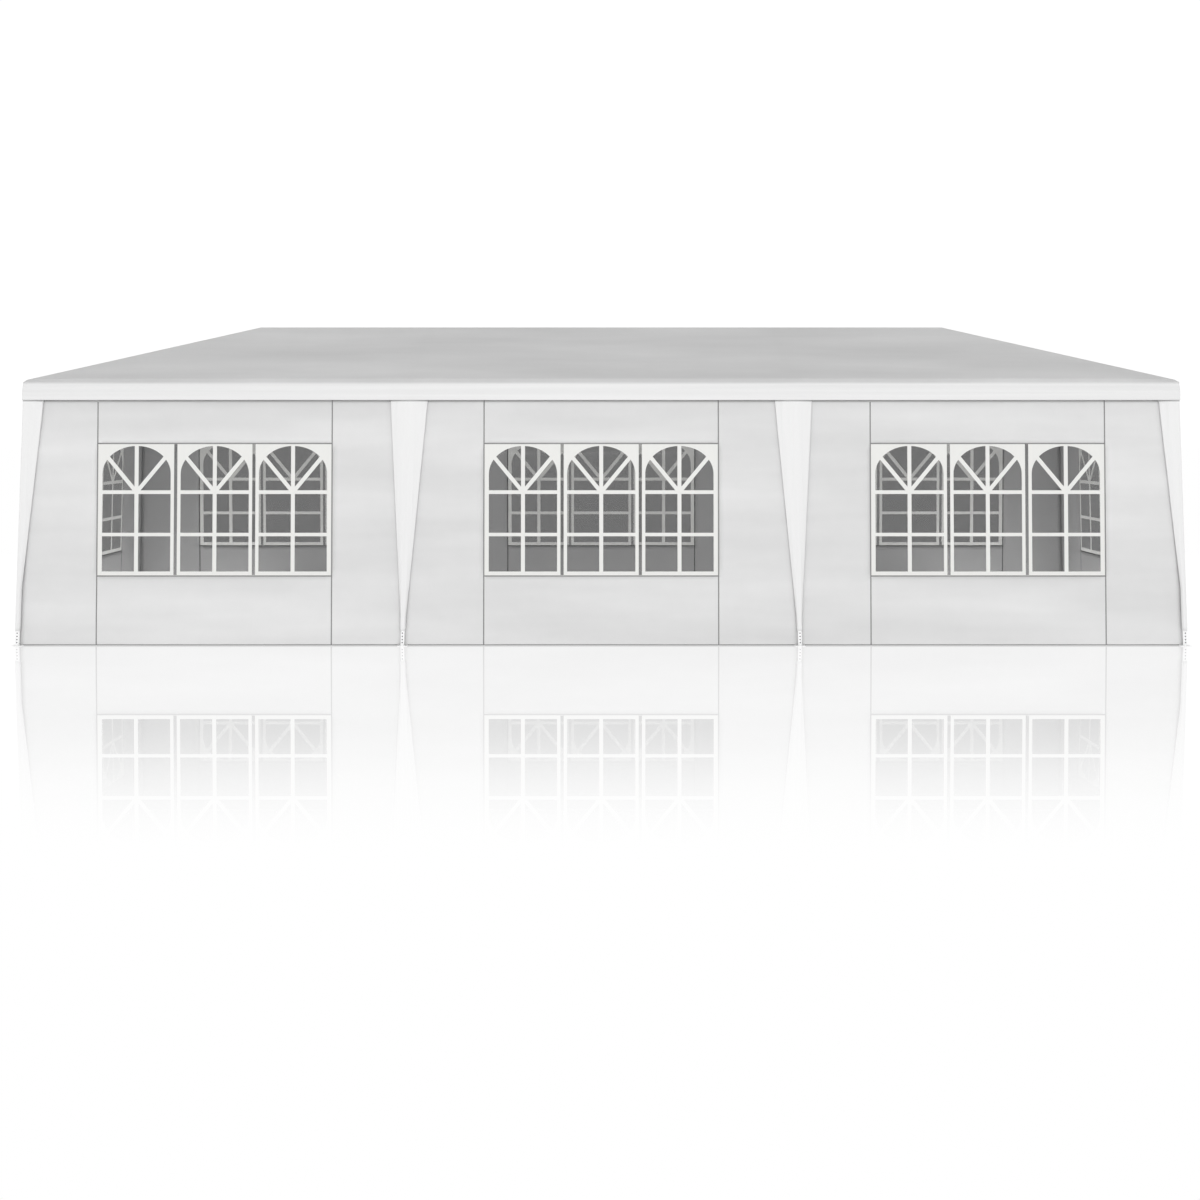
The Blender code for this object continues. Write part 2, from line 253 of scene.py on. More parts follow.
class Recipe:
    """A material with its nodes, and short ways to add more of them."""

    def __init__(self, name, colour, roughness):
        self.material = bpy.data.materials.new(name)
        self.material.use_nodes = True
        self.material.diffuse_color = (*colour, 1.0)
        self.tree = self.material.node_tree
        self.shader = self.tree.nodes["Principled BSDF"]
        self.output = self.tree.nodes["Material Output"]
        self.shader.inputs["Base Color"].default_value = (*colour, 1.0)
        self.shader.inputs["Roughness"].default_value = roughness

    def add(self, kind, **settings):
        node = self.tree.nodes.new(kind)
        for key, value in settings.items():
            if key in node.inputs:
                node.inputs[key].default_value = value
            else:
                setattr(node, key, value)
        return node

    def link(self, source, target):
        self.tree.links.new(source, target)

    def math(self, operation, first, second):
        node = self.add("ShaderNodeMath", operation=operation)
        for socket, value in zip(node.inputs, (first, second)):
            if isinstance(value, bpy.types.NodeSocket):
                self.link(value, socket)
            else:
                socket.default_value = value
        return node.outputs[0]

    def flat_place(self, stretch):
        """Where a point lies in the cut cloth, in metres, stretched to shape a pattern."""
        source = self.add("ShaderNodeUVMap", uv_map="cloth")
        mapping = self.add("ShaderNodeMapping", Scale=stretch)
        self.link(source.outputs["UV"], mapping.inputs["Vector"])
        return mapping.outputs["Vector"]

    def object_place(self, stretch=(1.0, 1.0, 1.0)):
        source = self.add("ShaderNodeTexCoord")
        mapping = self.add("ShaderNodeMapping", Scale=stretch)
        self.link(source.outputs["Object"], mapping.inputs["Vector"])
        return mapping.outputs["Vector"]

    def noise(self, vector, scale, detail=3.0, roughness=0.5):
        node = self.add("ShaderNodeTexNoise", Scale=scale, Detail=detail, Roughness=roughness)
        self.link(vector, node.inputs["Vector"])
        return node.outputs["Fac"]

    def between(self, factor, low, high):
        """A colour that runs from low to high with the factor."""
        node = self.add("ShaderNodeMix", data_type="RGBA")
        self.link(factor, node.inputs["Factor"])
        first, second = (socket for socket in node.inputs if socket.type == "RGBA")
        for socket, colour in ((first, low), (second, high)):
            if isinstance(colour, bpy.types.NodeSocket):
                self.link(colour, socket)
            else:
                socket.default_value = (*colour, 1.0)
        return next(socket for socket in node.outputs if socket.type == "RGBA")

    def spread(self, value, low, high):
        """Maps 0.3 to 0.7, where noise mostly lies, to the range from low to high."""
        node = self.add("ShaderNodeMapRange")
        node.inputs["From Min"].default_value = 0.3
        node.inputs["From Max"].default_value = 0.7
        node.inputs["To Min"].default_value = low
        node.inputs["To Max"].default_value = high
        self.link(value, node.inputs["Value"])
        return node.outputs["Result"]

    def faces_outside(self):
        """1 on the faces that look away from the tent's middle, and 0 on the inner ones."""
        here = self.add("ShaderNodeNewGeometry")
        level = self.add("ShaderNodeVectorMath", operation="MULTIPLY")
        level.inputs[1].default_value = (1.0, 1.0, 0.0)
        self.link(here.outputs["Position"], level.inputs[0])
        facing = self.add("ShaderNodeVectorMath", operation="DOT_PRODUCT")
        self.link(level.outputs["Vector"], facing.inputs[0])
        self.link(here.outputs["True Normal"], facing.inputs[1])
        return self.math("GREATER_THAN", facing.outputs["Value"], 0.0)

    def glow(self, colour, share):
        """Lets a share of the light come through the material from behind."""
        glow = self.add("ShaderNodeBsdfTranslucent", Color=(*colour, 1.0))
        mix = self.add("ShaderNodeMixShader", Fac=share)
        self.link(self.shader.outputs[0], mix.inputs[1])
        self.link(glow.outputs[0], mix.inputs[2])
        self.link(mix.outputs[0], self.output.inputs["Surface"])

    def bump(self, height, depth, strength=1.0):
        node = self.add("ShaderNodeBump", Strength=strength, Distance=depth)
        self.link(height, node.inputs["Height"])
        return node


def weave(recipe):
    """Flat tapes woven over and under each other, two millimetres wide."""
    tape_waves = []
    for direction in ("X", "Y"):
        waves = recipe.add("ShaderNodeTexWave", bands_direction=direction, Scale=1.0)
        recipe.link(recipe.flat_place((78.0, 78.0, 1.0)), waves.inputs["Vector"])
        tape_waves.append(waves.outputs["Fac"])
    return recipe.math("MULTIPLY", *tape_waves)


def shaded(colour, share):
    return tuple(min(channel * share, 0.97) for channel in colour)


def coated_cloth(name, colour, streak_stretch, crease_shade_depth, translucency, inner_painted_shading=1.0):
    """Woven plastic cloth with a satin coat, faint creases and light coming through it. Painted shade lies along
    the creases in its colour.
    """
    recipe = Recipe(name, colour, 0.52)
    # Painted shade: the colour runs darker and lighter along the long crease streaks, for the light and shade on
    # the cloth's soft undulations; the mottling adds a little random tone.
    streaks = recipe.noise(recipe.flat_place(streak_stretch), 1.0, 3.0, 0.5)
    mottling = recipe.noise(recipe.flat_place((1.0, 1.0, 1.0)), 7.0, 5.0, 0.6)
    broad = recipe.math("MULTIPLY", streaks, 0.88)
    mixed = recipe.math("ADD", broad, recipe.math("MULTIPLY", mottling, 0.12))
    shade = recipe.spread(mixed, 0.0, 1.0)
    lighter = shaded(colour, 1.0 + crease_shade_depth * 0.6)
    tone = recipe.between(shade, shaded(colour, 1.0 - crease_shade_depth), lighter)
    # Painted shade: the inner faces take a darker copy of the colour, for the dim inside of the tent.
    if inner_painted_shading != 1.0:
        tone = recipe.between(recipe.faces_outside(), shaded(colour, inner_painted_shading), tone)
    recipe.link(tone, recipe.shader.inputs["Base Color"])
    recipe.link(recipe.spread(mottling, 0.46, 0.60), recipe.shader.inputs["Roughness"])
    recipe.shader.inputs["Specular IOR Level"].default_value = 0.35
    weave_bump = recipe.bump(weave(recipe), 0.00012, 0.5)
    crease_bump = recipe.bump(streaks, 0.012, 0.6)
    recipe.link(weave_bump.outputs["Normal"], crease_bump.inputs["Normal"])
    recipe.link(crease_bump.outputs["Normal"], recipe.shader.inputs["Normal"])
    recipe.glow(lighter, translucency)
    return recipe.material


def seam_and_shadow_binding(name, colour):
    """Woven binding tape with a row of lockstitches along it, with painted shade darkening its inner side. It also
    makes the strips that paint shadow lines.
    """
    recipe = Recipe(name, colour, 0.65)
    threads = recipe.noise(recipe.flat_place((1.0, 1.0, 1.0)), 900.0, 2.0)
    stitches = recipe.add("ShaderNodeTexWave", bands_direction="X", Scale=1.0)
    recipe.link(recipe.flat_place((100.0, 0.0, 1.0)), stitches.inputs["Vector"])
    tone = recipe.math("ADD", recipe.math("MULTIPLY", threads, 0.6), recipe.math("MULTIPLY", stitches.outputs["Fac"], 0.4))
    darker = tuple(channel * 0.82 for channel in colour)
    lighter = tuple(channel * 1.18 for channel in colour)
    shade = recipe.between(tone, darker, lighter)
    # Painted shade: the inner faces take a darker copy of the colour, for the dim inside of the tent.
    shade = recipe.between(recipe.faces_outside(), shaded(colour, TAPE_INNER_SHADE), shade)
    recipe.link(shade, recipe.shader.inputs["Base Color"])
    recipe.link(recipe.bump(tone, 0.0003, 0.7).outputs["Normal"], recipe.shader.inputs["Normal"])
    return recipe.material


def clear_film(name):
    """Soft clear film, slightly grey, with a gloss that its waves disturb."""
    recipe = Recipe(name, (0.012, 0.0125, 0.0125), 0.09)
    recipe.shader.inputs["Alpha"].default_value = 0.382
    recipe.shader.inputs["Specular IOR Level"].default_value = 0.2
    haze = recipe.noise(recipe.flat_place((1.0, 1.0, 1.0)), 5.0, 4.0)
    recipe.link(recipe.spread(haze, 0.06, 0.16), recipe.shader.inputs["Roughness"])
    waves = recipe.noise(recipe.flat_place((1.4, 5.0, 1.0)), 1.0, 3.0)
    recipe.link(recipe.bump(waves, 0.004, 0.6).outputs["Normal"], recipe.shader.inputs["Normal"])
    return recipe.material


def printed_vinyl(name, colour, inner_painted_shading):
    """The white print of the window bars, with painted light on its inner faces, where it shows through the film.
    """
    recipe = Recipe(name, colour, 0.42)
    marks = recipe.noise(recipe.object_place((40.0, 40.0, 6.0)), 1.0, 4.0)
    grain = recipe.noise(recipe.object_place(), 700.0, 2.0)
    darker = tuple(channel * 0.965 for channel in colour)
    lighter = tuple(min(channel * 1.02, 0.97) for channel in colour)
    tone = recipe.between(marks, darker, lighter)
    # Painted light: the inner faces take a lighter copy of the colour, for the bars lit from inside the tent.
    tone = recipe.between(recipe.faces_outside(), shaded(colour, inner_painted_shading), tone)
    recipe.link(tone, recipe.shader.inputs["Base Color"])
    recipe.link(recipe.spread(marks, 0.36, 0.50), recipe.shader.inputs["Roughness"])
    recipe.link(recipe.bump(grain, 0.0001, 0.5).outputs["Normal"], recipe.shader.inputs["Normal"])
    return recipe.material


def powder_coat(name, colour):
    """White powder coat on steel tube, with its fine orange peel and a little handling wear."""
    recipe = Recipe(name, colour, 0.38)
    peel = recipe.noise(recipe.object_place(), 420.0, 2.0)
    wear = recipe.noise(recipe.object_place((9.0, 9.0, 4.0)), 1.0, 6.0, 0.65)
    darker = tuple(channel * 0.93 for channel in colour)
    recipe.link(recipe.between(recipe.spread(wear, 0.0, 1.0), darker, colour), recipe.shader.inputs["Base Color"])
    recipe.link(recipe.spread(wear, 0.46, 0.32), recipe.shader.inputs["Roughness"])
    recipe.shader.inputs["Coat Weight"].default_value = 0.15
    recipe.link(recipe.bump(peel, 0.0002, 0.35).outputs["Normal"], recipe.shader.inputs["Normal"])
    return recipe.material


def painted_bore_shade(name):
    """Painted shade for the unlit inside of a tube, as it shows through a hole."""
    recipe = Recipe(name, (0.05, 0.055, 0.06), 0.8)
    grain = recipe.noise(recipe.object_place(), 300.0, 2.0)
    recipe.link(recipe.between(grain, (0.04, 0.045, 0.05), (0.07, 0.075, 0.08)), recipe.shader.inputs["Base Color"])
    return recipe.material


# Each cloth's crease streaks carry painted shade in its colour.
ROOF_CLOTH = coated_cloth("roof_cloth", (0.77, 0.77, 0.77), (0.45, 1.9, 1.0), 0.12, 0.18)
VALANCE_CLOTH = coated_cloth("valance_cloth", (0.85, 0.85, 0.85), (0.3, 26.0, 1.0), 0.05, 0.10)
# Painted shade: the wall cloth's inner faces are at 0.665 of the outer colour.
WALL_CLOTH = coated_cloth("wall_cloth", (0.79, 0.79, 0.79), (0.35, 2.4, 1.0), 0.12, 0.15, 0.665)
DRAPE_CLOTH = coated_cloth("drape_cloth", (0.885, 0.885, 0.885), (24.0, 0.6, 1.0), 0.02, 0.10)
# Grey tape for the real seams, and for the hem strip of painted shadow.
SEAM_AND_SHADOW_TAPE = seam_and_shadow_binding("grey_seam_and_shadow_tape", (0.24, 0.24, 0.24))
# Painted shadow: this pale grey tape stands for the shadow line under the valance.
VALANCE_SHADOW_TAPE = seam_and_shadow_binding("painted_valance_shadow", (0.50, 0.50, 0.50))
WINDOW_FILM = clear_film("clear_window_film")
# Painted light: the print's inner faces are at 1.15 of the outer colour.
WINDOW_PRINT = printed_vinyl("white_window_print", (0.77, 0.77, 0.75), 1.15)
POWDER_COAT = powder_coat("white_powder_coat", (0.96, 0.96, 0.96))
# Painted shade inside the legs' holes.
BORE_SHADE = painted_bore_shade("painted_tube_shade")


# Roof cover


def cover_height(inward):
    return EAVE_HEIGHT + inward * math.tan(PITCH) + COVER_OFFSET / math.cos(PITCH)


def eave_profile():
    """How far in from the legs, and how high, the cover runs from its hem over the eave."""
    crease = 0.0025
    seam = (-EAVE_OVERHANG, EAVE_SEAM_HEIGHT)
    shoulder = (-EAVE_OVERHANG + EAVE_FACET, EAVE_SEAM_HEIGHT + EAVE_FACET)
    facet = [
        (seam[0] + EAVE_FACET * share, seam[1] + EAVE_FACET * share) for share in (0.10, 0.20, 0.80, 0.90)
    ]
    return [
        (seam[0], seam[1] - COVER_HEM),
        (seam[0], seam[1] - COVER_HEM / 2),
        (seam[0], seam[1] - crease),
        (seam[0] + crease * 0.35, seam[1] - crease * 0.2),
        *facet,
        (shoulder[0] + crease, shoulder[1] - crease * 0.2),
    ]


def slope_profile():
    """The cover from its eave to the ridge, where it bends over the ridge pole."""
    ridge_bend = COVER_OFFSET * math.sin(PITCH)
    inwards = [0.02, 0.035, 0.06, *steps(0.1, HALF_DEPTH - 0.05, 0.05)]
    inwards += [HALF_DEPTH - 0.02, HALF_DEPTH - ridge_bend]
    profile = [(inward, cover_height(inward)) for inward in inwards]
    for across in (ridge_bend / 2, 0.0):
        profile.append((HALF_DEPTH - across, RIDGE_HEIGHT + math.sqrt(COVER_OFFSET**2 - across**2)))
    return profile


def eave_lift(x, y, inward):
    """How far the cloth is raised: fully along the eaves, less at the hips, not at the ridge."""
    from_hip = abs((HALF_LENGTH - abs(x)) - (HALF_DEPTH - abs(y)))
    return EAVE_LIFT * (1 - inward / HALF_DEPTH) * ease(from_hip, -0.3, 0.5)


def rounded_ring(half_x, half_y, rounding, columns, rows, turns):
    """Points round a rectangle with rounded corners, each with the name of its side."""
    rounding = min(rounding, half_y, half_x)
    ring = []
    for side in SIDES:
        long_side = side in ("front", "back")
        half, out = (half_x, half_y) if long_side else (half_y, half_x)
        shares = columns if long_side else rows
        for share in shares:
            ring.append((side, *place(side, share * (half - rounding), out, 0.0).xy))
        for turn in range(1, turns):
            angle = turn / turns * math.pi / 2
            across = half - rounding + rounding * math.sin(angle)
            outward = out - rounding + rounding * math.cos(angle)
            ring.append((side, *place(side, across, outward, 0.0).xy))
    return ring


def spread_shares(count, end_shares):
    """Shares from -1 to 1, even in the middle and closer together at the ends."""
    inner = [-end_shares[-1] + 2 * end_shares[-1] * i / count for i in range(count + 1)]
    outer = [share for share in end_shares[:-1]]
    return [-share for share in outer] + inner + outer[::-1]


def roof_sag(x, y):
    """How far the cover sinks between the members that carry it."""
    from_long_side = HALF_DEPTH - abs(y)
    from_end = HALF_LENGTH - abs(x)
    inward = max(min(from_long_side, from_end), 0.0)
    if from_long_side < from_end:
        hip = HALF_LENGTH - from_long_side
        start, end = (-MIDDLE_LEG, MIDDLE_LEG) if abs(x) < MIDDLE_LEG else (MIDDLE_LEG, hip)
        share = (abs(x) - start) / (end - start) if start > 0 else (x - start) / (end - start)
    else:
        half = max(HALF_DEPTH - from_end, 1e-6)
        start, end = -half, half
        share = (y + half) / (2 * half)
    hold = math.sin(math.pi * min(max(share, 0.0), 1.0)) ** 2
    hold *= math.sin(math.pi * min(inward / HALF_DEPTH, 1.0)) ** 0.8
    wrinkle = 0.0022 * math.sin(9.0 * inward + 2.1 * x + 1.3 * y + 0.8)
    wrinkle += 0.0016 * math.sin(15.0 * inward - 3.4 * x + 0.7 * y)
    return hold * (ROOF_SAG * (end - start) / BAY + wrinkle)


def make_roof_cover():
    columns = spread_shares(110, (1.0, 0.996, 0.99, 0.975))
    rows = spread_shares(36, (1.0, 0.99, 0.97, 0.93))
    points = []
    flat = []
    eave = eave_profile()
    flat_roof_edge = cover_height(eave[-1][0])
    for inward, height in eave + slope_profile():
        ring = rounded_ring(
            HALF_LENGTH - inward, HALF_DEPTH - inward, CORNER_ROUNDING, columns, rows, 4
        )
        ring.append(ring[0])
        row = []
        for _, x, y in ring:
            lift = eave_lift(x, y, max(inward, 0.0))
            if inward <= eave[-1][0]:
                # At a corner the facet flattens until it meets the roof where that isn't raised
                share = max(height - EAVE_SEAM_HEIGHT, 0.0) / (eave[-1][1] - EAVE_SEAM_HEIGHT)
                lift = (lift + flat_roof_edge - eave[-1][1]) * share
            row.append(Vector((x, y, height + lift - roof_sag(x, y))))
        points.append(row)
        slope = inward / math.cos(PITCH)
        flat.append([(x if side in ("front", "back") else y, slope) for side, x, y in ring])
    mesh = grid_mesh("roof_cover", points, flat)
    work = bmesh.new()
    work.from_mesh(mesh)
    bmesh.ops.remove_doubles(work, verts=work.verts, dist=0.00005)
    work.to_mesh(mesh)
    work.free()
    cover = add_piece("roof_cover", mesh, ROOF_CLOTH, [f"{s}_roof_panel" for s in SIDES])
    thicken(cover, CLOTH)


# Valance


def valance_outward(share, along):
    """How far the valance's face stands out, at a share of its drop and a place along it."""
    bulge = VALANCE_BULGE * math.sin(math.pi * share)
    wrinkle = 0.0007 * math.sin(20.0 * share + 0.9 * math.sin(1.7 * along)) * math.sin(math.pi * share)
    return EAVE_OVERHANG - CLOTH + (VALANCE_FLARE + CLOTH) * share + bulge + wrinkle


def make_valance():
    top = EAVE_SEAM_HEIGHT - 0.002
    columns = spread_shares(90, (1.0, 0.996, 0.99))
    rows = spread_shares(30, (1.0, 0.99, 0.97))
    points = []
    flat = []
    for share in steps(1.0, 0.0, 0.09):
        height = top + (VALANCE_BOTTOM - top) * share
        base = rounded_ring(HALF_LENGTH, HALF_DEPTH, 0.0, columns, rows, 2)
        outs = [valance_outward(share, x + 2 * y) for _, x, y in base]
        mean = sum(outs) / len(outs)
        ring = rounded_ring(
            HALF_LENGTH + mean, HALF_DEPTH + mean, CORNER_ROUNDING, columns, rows, 4
        )
        row = []
        for side, x, y in ring:
            extra = valance_outward(share, x + 2 * y) - mean
            move = place(side, 0.0, extra, 0.0)
            row.append(Vector((x + move.x, y + move.y, height)))
        row.append(row[0])
        points.append(row)
        around = [0.0]
        for before, after in zip(row, row[1:]):
            around.append(around[-1] + (after - before).length)
        flat.append([(distance, -height) for distance in around])
    mesh = grid_mesh("valance", points, flat)
    work = bmesh.new()
    work.from_mesh(mesh)
    bmesh.ops.remove_doubles(work, verts=work.verts, dist=0.00005)
    work.to_mesh(mesh)
    work.free()
    valance = add_piece("valance", mesh, VALANCE_CLOTH, [f"{s}_valance" for s in SIDES])
    thicken(valance, CLOTH)
    around = 4 * (HALF_LENGTH + HALF_DEPTH + 2 * EAVE_OVERHANG)


# Walls


def wall_edge(side, end, height):
    """Where a wall's edge runs, at a corner leg or at a middle leg."""
    if side in ("left", "right"):
        return math.copysign(wall_outward("front", height) - SOLID_FABRIC - GAP, end)
    if abs(end) == HALF_LENGTH:
        return math.copysign(wall_outward("right", height) + CORNER_LAP, end)
    return math.copysign(abs(end) + lean(height), end)


def wall_hem(side, across):
    """The height of a wall's hem, a little higher where it passes over a foot plate."""
    feet = LEGS.values() if side in ("front", "back") else (-HALF_DEPTH, HALF_DEPTH)
    nearest = min(abs(abs(across) - abs(foot) - LEG_SPLAY) for foot in feet)
    return WALL_BOTTOM + (WALL_BOTTOM_OVER_FOOT - WALL_BOTTOM) * (1 - ease(nearest, 0.042, 0.060))


def waves_of(name):
    """The long, nearly level waves of one wall, the same on every run."""
    chance = random.Random(name)
    waves = []
    for length, depth in ((0.95, 0.42), (0.55, 0.33), (0.36, 0.25)):
        tilt = chance.uniform(-0.35, 0.35)
        phase = chance.uniform(0.0, 2 * math.pi)
        waves.append((2 * math.pi / length, tilt, phase, depth))
    return waves


def wall_wave(waves, centre, half_width, across, height):
    """How far a wall bellies out. It hangs still at the legs, the eaves and the window seams."""
    from_centre = abs(across - centre)
    from_leg = half_width - from_centre
    beside = ease(from_centre, WINDOW_HALF_WIDTH + 0.004, WINDOW_HALF_WIDTH + 0.24)
    below = ease(WINDOW_BOTTOM - height, 0.004, 0.28)
    above = ease(height - WINDOW_TOP, 0.004, 0.20)
    free = max(beside, below, above) * ease(from_leg, 0.03, 0.34)
    free *= 0.12 + 0.88 * ease(abs(from_centre - WINDOW_HALF_WIDTH), 0.01, 0.22)
    free *= 1 - ease(height, WALL_TOP - 0.30, WALL_TOP - 0.02)
    free *= 0.35 + 0.65 * ease(height, 0.0, 0.25)
    total = 0.0
    for pace, tilt, phase, depth in waves:
        total += depth * math.sin(pace * (height + tilt * (across - centre)) + phase)
    return WAVE_DEPTH * free * total


class Wall:
    """One wall's surface, for the cloth, its seam tapes and the strips of painted shadow on it."""

    def __init__(self, name, side, start, end):
        self.name = name
        self.side = side
        self.start = start
        self.end = end
        self.centre = (start + end) / 2
        if self.centre:
            window_lean = lean((WINDOW_BOTTOM + WINDOW_TOP) / 2)
            self.centre = math.copysign(abs(self.centre) + window_lean, self.centre)
        self.half_width = abs(end - start) / 2
        self.waves = waves_of(name)

    def point(self, across, height, lift=0.0):
        wave = wall_wave(self.waves, self.centre, self.half_width, across, height)
        outward = wall_outward(self.side, height) + wave + lift
        return place(self.side, across, outward, height)

    def across(self, share, height):
        """A place between the wall's edges, where shares of -1 and 1 are the window's seams."""
        if share < -1:
            edge = wall_edge(self.side, self.start, height)
            seam = self.centre - WINDOW_HALF_WIDTH
            return seam + (edge - seam) * (-share - 1)
        if share > 1:
            edge = wall_edge(self.side, self.end, height)
            seam = self.centre + WINDOW_HALF_WIDTH
            return seam + (edge - seam) * (share - 1)
        return self.centre + WINDOW_HALF_WIDTH * share


def wall_heights():
    below = [0.0, *steps(0.02, WINDOW_BOTTOM, 0.045)]
    return below, steps(WINDOW_BOTTOM, WINDOW_TOP, 0.055), steps(WINDOW_TOP, WALL_TOP, 0.045)


def make_wall_cloth(wall):
    below, beside, above = wall_heights()
    heights = below + beside[1:] + above[1:]
    shares = steps(-2, -1, 0.09) + steps(-1, 1, 0.05)[1:] + steps(1, 2, 0.09)[1:]
    rows = []
    flat = []
    for height in heights:
        row = []
        for share in shares:
            across = wall.across(share, height)
            level = max(height, wall_hem(wall.side, across))
            row.append((across, level))
        rows.append([wall.point(across, level) for across, level in row])
        flat.append(row)

    def in_window(r, c):
        middle = (heights[r] + heights[r + 1]) / 2
        return WINDOW_BOTTOM < middle < WINDOW_TOP and abs(shares[c] + shares[c + 1]) < 2

    name = f"{wall.name}_wall"
    mesh = grid_mesh(f"{name}_cloth", rows, flat, in_window)
    cloth = add_piece(f"{name}_cloth", mesh, WALL_CLOTH, [name])
    thicken(cloth, CLOTH)
    return cloth


def tape_strip(wall, line, width, proud):
    """A tape that follows the wall along a line of points, its own width across the line."""
    rows = []
    flat = []
    run = 0.0
    for i, (across, height) in enumerate(line):
        before, after = Vector(line[max(i - 1, 0)]), Vector(line[min(i + 1, len(line) - 1)])
        way = (after - before).normalized()
        aside = Vector((way.y, -way.x)) * width / 2
        run += (Vector(line[i]) - Vector(line[max(i - 1, 0)])).length
        left = Vector((across, height)) - aside
        right = Vector((across, height)) + aside
        rows.append([wall.point(left.x, left.y, proud), wall.point(right.x, right.y, proud)])
        flat.append([(run, 0.0), (run, width)])
    return grid_mesh("tape", rows, flat)


def make_seams_and_hem_shadow(wall):
    """The grey tapes at the window section's seams, and a grey strip along the hem that paints the contact shadow
    at the ground, on both faces of the cloth.
    """
    left, right = wall.centre - WINDOW_HALF_WIDTH, wall.centre + WINDOW_HALF_WIDTH
    half = TAPE_WIDTH / 2
    strips = []
    for across in (left, right):
        line = [(across, h) for h in steps(WALL_BOTTOM + HEM_SHADOW_TAPE_WIDTH, WALL_TOP - 0.002, 0.04)]
        strips.append(tape_strip(wall, line, TAPE_WIDTH, TAPE))
    for height in (WINDOW_BOTTOM, WINDOW_TOP):
        line = [(x, height) for x in steps(left + half, right - half, 0.1)]
        strips.append(tape_strip(wall, line[::-1], TAPE_WIDTH, TAPE))
    # The hem strip is painted shadow: it stands for the dark contact line where the wall meets the floor, and stops
    # beside each foot plate.
    beside_plate = FOOT_PLATE_WIDTH / 2 + 0.002
    hem_start = wall.start + math.copysign(LEG_SPLAY, wall.start) + beside_plate
    hem_end = wall.end + math.copysign(LEG_SPLAY, wall.end) - beside_plate
    hem = [(x, WALL_BOTTOM + HEM_SHADOW_TAPE_WIDTH / 2) for x in steps(hem_start, hem_end, 0.1)]
    strips.append(tape_strip(wall, hem[::-1], HEM_SHADOW_TAPE_WIDTH, TAPE))
    name = f"{wall.name}_wall_seams_and_hem_shadow"
    seams = add_piece(name, join_meshes(name, strips), SEAM_AND_SHADOW_TAPE)
    thicken(seams, CLOTH + 2 * TAPE)
    return seams


def make_valance_shadow_tape(wall):
    """A pale grey tape just under the valance, which paints the valance's shadow line on the wall."""
    level = VALANCE_BOTTOM + 0.002 - WALL_SHADOW_TAPE_WIDTH / 2
    edges = wall.across(-2, level), wall.across(2, level)
    line = [(x, level) for x in steps(edges[1], edges[0], 0.1)]
    name = f"{wall.name}_wall_top_tape"
    tape = add_piece(name, tape_strip(wall, line, WALL_SHADOW_TAPE_WIDTH, TAPE), VALANCE_SHADOW_TAPE)
    thicken(tape, CLOTH + 2 * TAPE)
    return tape


# Windows


def keep_side(outline, point, normal):
    """What of a convex outline lies on the normal's side of a line through the point."""
    kept = []
    for here, after in zip(outline, outline[1:] + outline[:1]):
        depth_here = (here - point).dot(normal)
        depth_after = (after - point).dot(normal)
        if depth_here >= 0:
            kept.append(here)
        if depth_here * depth_after < 0:
            kept.append(here.lerp(after, depth_here / (depth_here - depth_after)))
    return kept


def arch_outline():
    """The clear opening of one window: upright sides under a flattened round arch."""
    rise = CROWN_HEIGHT - SPRING_HEIGHT
    outline = [Vector((PANE_HALF_WIDTH, PANE_BOTTOM)), Vector((PANE_HALF_WIDTH, SPRING_HEIGHT))]
    for angle in steps(0.0, math.pi, math.pi / 48)[1:-1]:
        across = PANE_HALF_WIDTH * math.cos(angle)
        outline.append(Vector((across, SPRING_HEIGHT + rise * math.sin(angle))))
    return outline + [Vector((-PANE_HALF_WIDTH, SPRING_HEIGHT)), Vector((-PANE_HALF_WIDTH, PANE_BOTTOM))]


def right_hand_panes():
    """The four panes to the right of a window's upright bar."""
    up, right = Vector((0, 1)), Vector((1, 0))
    half = keep_side(arch_outline(), Vector((BAR_WIDTH / 2, 0)), right)
    panes = []
    floor = PANE_BOTTOM
    for bar_bottom, bar_top in CROSS_BARS:
        pane = keep_side(half, Vector((0, floor)), up)
        panes.append(keep_side(pane, Vector((0, bar_bottom)), -up))
        floor = bar_top
    fan = keep_side(half, Vector((0, floor)), up)
    hub = Vector((0, HUB_HEIGHT))
    way = (Vector(DIAGONAL_END) - hub).normalized()
    above = Vector((-way.y, way.x))
    panes.append(keep_side(fan, hub + above * BAR_WIDTH / 2, above))
    panes.append(keep_side(fan, hub - above * BAR_WIDTH / 2, -above))
    return panes


def window_outlines():
    """The outer edge of a section's white print, and every clear shape in it."""
    edge = TAPE_WIDTH / 2 - 0.001
    half = WINDOW_HALF_WIDTH - edge
    bottom, top = WINDOW_BOTTOM + edge, WINDOW_TOP - edge
    outlines = [[Vector(p) for p in ((-half, bottom), (half, bottom), (half, top), (-half, top))]]
    for centre in (-WINDOW_PITCH, 0.0, WINDOW_PITCH):
        for pane in right_hand_panes():
            outlines.append([Vector((centre + p.x, p.y)) for p in pane])
            outlines.append([Vector((centre - p.x, p.y)) for p in pane[::-1]])
    for centre in (-WINDOW_PITCH / 2, WINDOW_PITCH / 2):
        left, right = centre - STRIP_WIDTH / 2, centre + STRIP_WIDTH / 2
        low, high = bottom + 0.004, top - 0.001
        outlines.append([Vector(p) for p in ((left, low), (right, low), (right, high), (left, high))])
    return outlines


